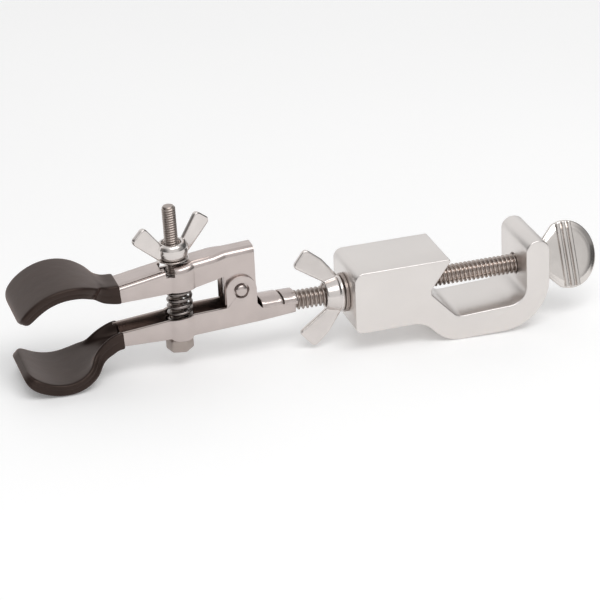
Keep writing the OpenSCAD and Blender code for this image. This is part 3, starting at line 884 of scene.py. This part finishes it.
def sectionRing(section, side):
    x, z, slope, half, back, backEdge, grip, rim, wall = section
    inner = max(half - wall, 0.3 * half)
    # radius of the outer corners
    soft = min(padEdge["soft"], 0.42 * (rim - backEdge), 0.4 * half)
    turns = [math.radians(a) for a in (15, 45, 75)]
    arc = [(soft * (1 - math.sin(a)), soft * (1 - math.cos(a))) for a in turns]
    right = [(0.5 * half, back), (half - 1.6 * soft, backEdge)]
    right += [(half - y, backEdge + h) for y, h in arc]
    # a shallow groove along the side sets off the bead of the dip
    middle = (rim + backEdge) / 2
    right += [(half, middle - 0.4 * soft), (half - padEdge["groove"], middle + 0.05 * soft),
              (half - 0.02, middle + 0.45 * soft)]
    right += [(half - y, rim - h) for y, h in reversed(arc)]
    right += [(half - 1.5 * soft, rim), (inner, rim * 0.6 + grip * 0.4), (0.78 * inner, grip)]
    flat = [(0, back)] + right + [(0, grip)] + [(-y, h) for y, h in reversed(right)]
    turn = math.radians(slope)
    up = Vector((-math.sin(turn), 0, math.cos(turn))) * -side
    return [Vector((x, y, z)) + up * h for y, h in flat]


def makePad(name, p, body, node):
    sections = arcSections(p["centre"], p["radius"], p["side"], p["arc"]) + p["neck"]
    bm = bmesh.new()
    loft(bm, [sectionRing(s, p["side"]) for s in sections], closed=True)
    ends = bmesh.ops.holes_fill(bm, edges=[e for e in bm.edges if e.is_boundary], sides=0)["faces"]
    bmesh.ops.inset_region(bm, faces=ends, thickness=padEdge["end"], use_even_offset=True)
    piece = finishPiece(name, bm, body, [node], "black_vinyl", 180)
    addModifier(piece, "SUBSURF", levels=2, render_levels=2)


makeBossHead()
print("boss head made")
makeClampScrew()
makeSwivelRod()
makeAdjustingBolt()
print("screws made")
makeNuts()
makeWashers()
print("nuts and washers made")
makeSpring()
makeLowerJaw()
makeUpperJaw()
makeRivet()
print("jaws made")
makePad("lowerPad", lowerPad, "swivel", "lower_jaw_coating")
makePad("upperPad", upperPad, "jaw", "upper_jaw_coating")
print("pads made")


# the clamp lies on its lower pad and on the bridge of the boss head
floorFeet = {"front": (-124.6, 0, -13.25), "rear": (5.5, 0, -18.05)}
studio = {
    "world": 0.8, "flags": [(0.45, (1, 1, 1, 1)), (0.8, (0.12, 0.12, 0.12, 1))],
    # lights, as name, place, size and power, all turned to one point
    "panels": [
        ("keyPanel", (0.05, -0.38, 0.72), (0.75, 0.36), 2.4),
        ("fillPanel", (0.55, -0.25, 0.45), (0.4, 0.6), 0.2),
        ("backPanel", (-0.05, 1.1, 0.5), (2.4, 1.0), 1.0)],
    "panelAim": (-0.045, 0, 0),
    "azimuth": -16.03, "elevation": 24.96, "roll": -2.70, "distance": 0.8287, "lens": 159.1,
    "target": (-0.04701, 0, -0.00028),
}


def makeFloor():
    frontFoot, rearFoot = Vector(floorFeet["front"]) * mm, Vector(floorFeet["rear"]) * mm
    run = (rearFoot - frontFoot).normalized()
    middle = (frontFoot + rearFoot) / 2
    bm = bmesh.new()
    bmesh.ops.create_grid(bm, x_segments=4, y_segments=4, size=4)
    mesh = bpy.data.meshes.new("floor")
    bm.to_mesh(mesh)
    bm.free()
    floor = bpy.data.objects.new("floor", mesh)
    bpy.context.scene.collection.objects.link(floor)
    floor.matrix_world = Matrix.Translation(middle) @ run.to_track_quat("X", "Z").to_matrix().to_4x4()
    mesh.materials.append(paleFloor())


def addPanel(name, place, size, power):
    light = bpy.data.lights.new(name, "AREA")
    light.shape, light.size, light.size_y, light.energy = "RECTANGLE", size[0], size[1], power
    lamp = bpy.data.objects.new(name, light)
    bpy.context.scene.collection.objects.link(lamp)
    lamp.location = place
    aim = Vector(studio["panelAim"]) - Vector(place)
    lamp.rotation_euler = aim.to_track_quat("-Z", "Y").to_euler()


def makeStudio():
    p = studio
    world = bpy.data.worlds.new("studioWorld")
    bpy.context.scene.world = world
    world.use_nodes = True
    tree = NodeTree(world.node_tree)
    sky = world.node_tree.nodes["Background"]
    towards = tree.node("ShaderNodeTexCoord", out="Generated")
    split = tree.nodes.new("ShaderNodeSeparateXYZ")
    tree.feed(split, "Vector", towards)
    aside = Value(tree, split.outputs["X"])
    # dark flags to the left and right draw the edges of bright metal
    tree.feed(sky, "Color", tree.node("ShaderNodeValToRGB", {"stops": p["flags"]},
                                      {"Fac": aside.math("ABSOLUTE", aside, 0)}))
    tree.feed(sky, "Strength", p["world"])
    for panel in p["panels"]:
        addPanel(*panel)
    bpy.context.scene.view_settings.view_transform = "Standard"
    bpy.context.scene.view_settings.look = "None"

    azimuth, elevation = math.radians(p["azimuth"]), math.radians(p["elevation"])
    back = Vector((math.sin(azimuth) * math.cos(elevation), -math.cos(azimuth) * math.cos(elevation),
                   math.sin(elevation)))
    right = Vector((math.cos(azimuth), math.sin(azimuth), 0))
    up = back.cross(right)
    roll = math.radians(p["roll"])
    tilted = right * math.cos(roll) + up * math.sin(roll)
    above = up * math.cos(roll) - right * math.sin(roll)
    camera = bpy.data.cameras.new("camera")
    camera.lens, camera.clip_start, camera.clip_end = p["lens"], 0.01, 20
    view = bpy.data.objects.new("camera", camera)
    bpy.context.scene.collection.objects.link(view)
    place = Vector(p["target"]) + back * p["distance"]
    view.matrix_world = Matrix.Translation(place) @ Matrix((tilted, above, back)).transposed().to_4x4()
    bpy.context.scene.camera = view


makeFloor()
makeStudio()
print("studio ready")
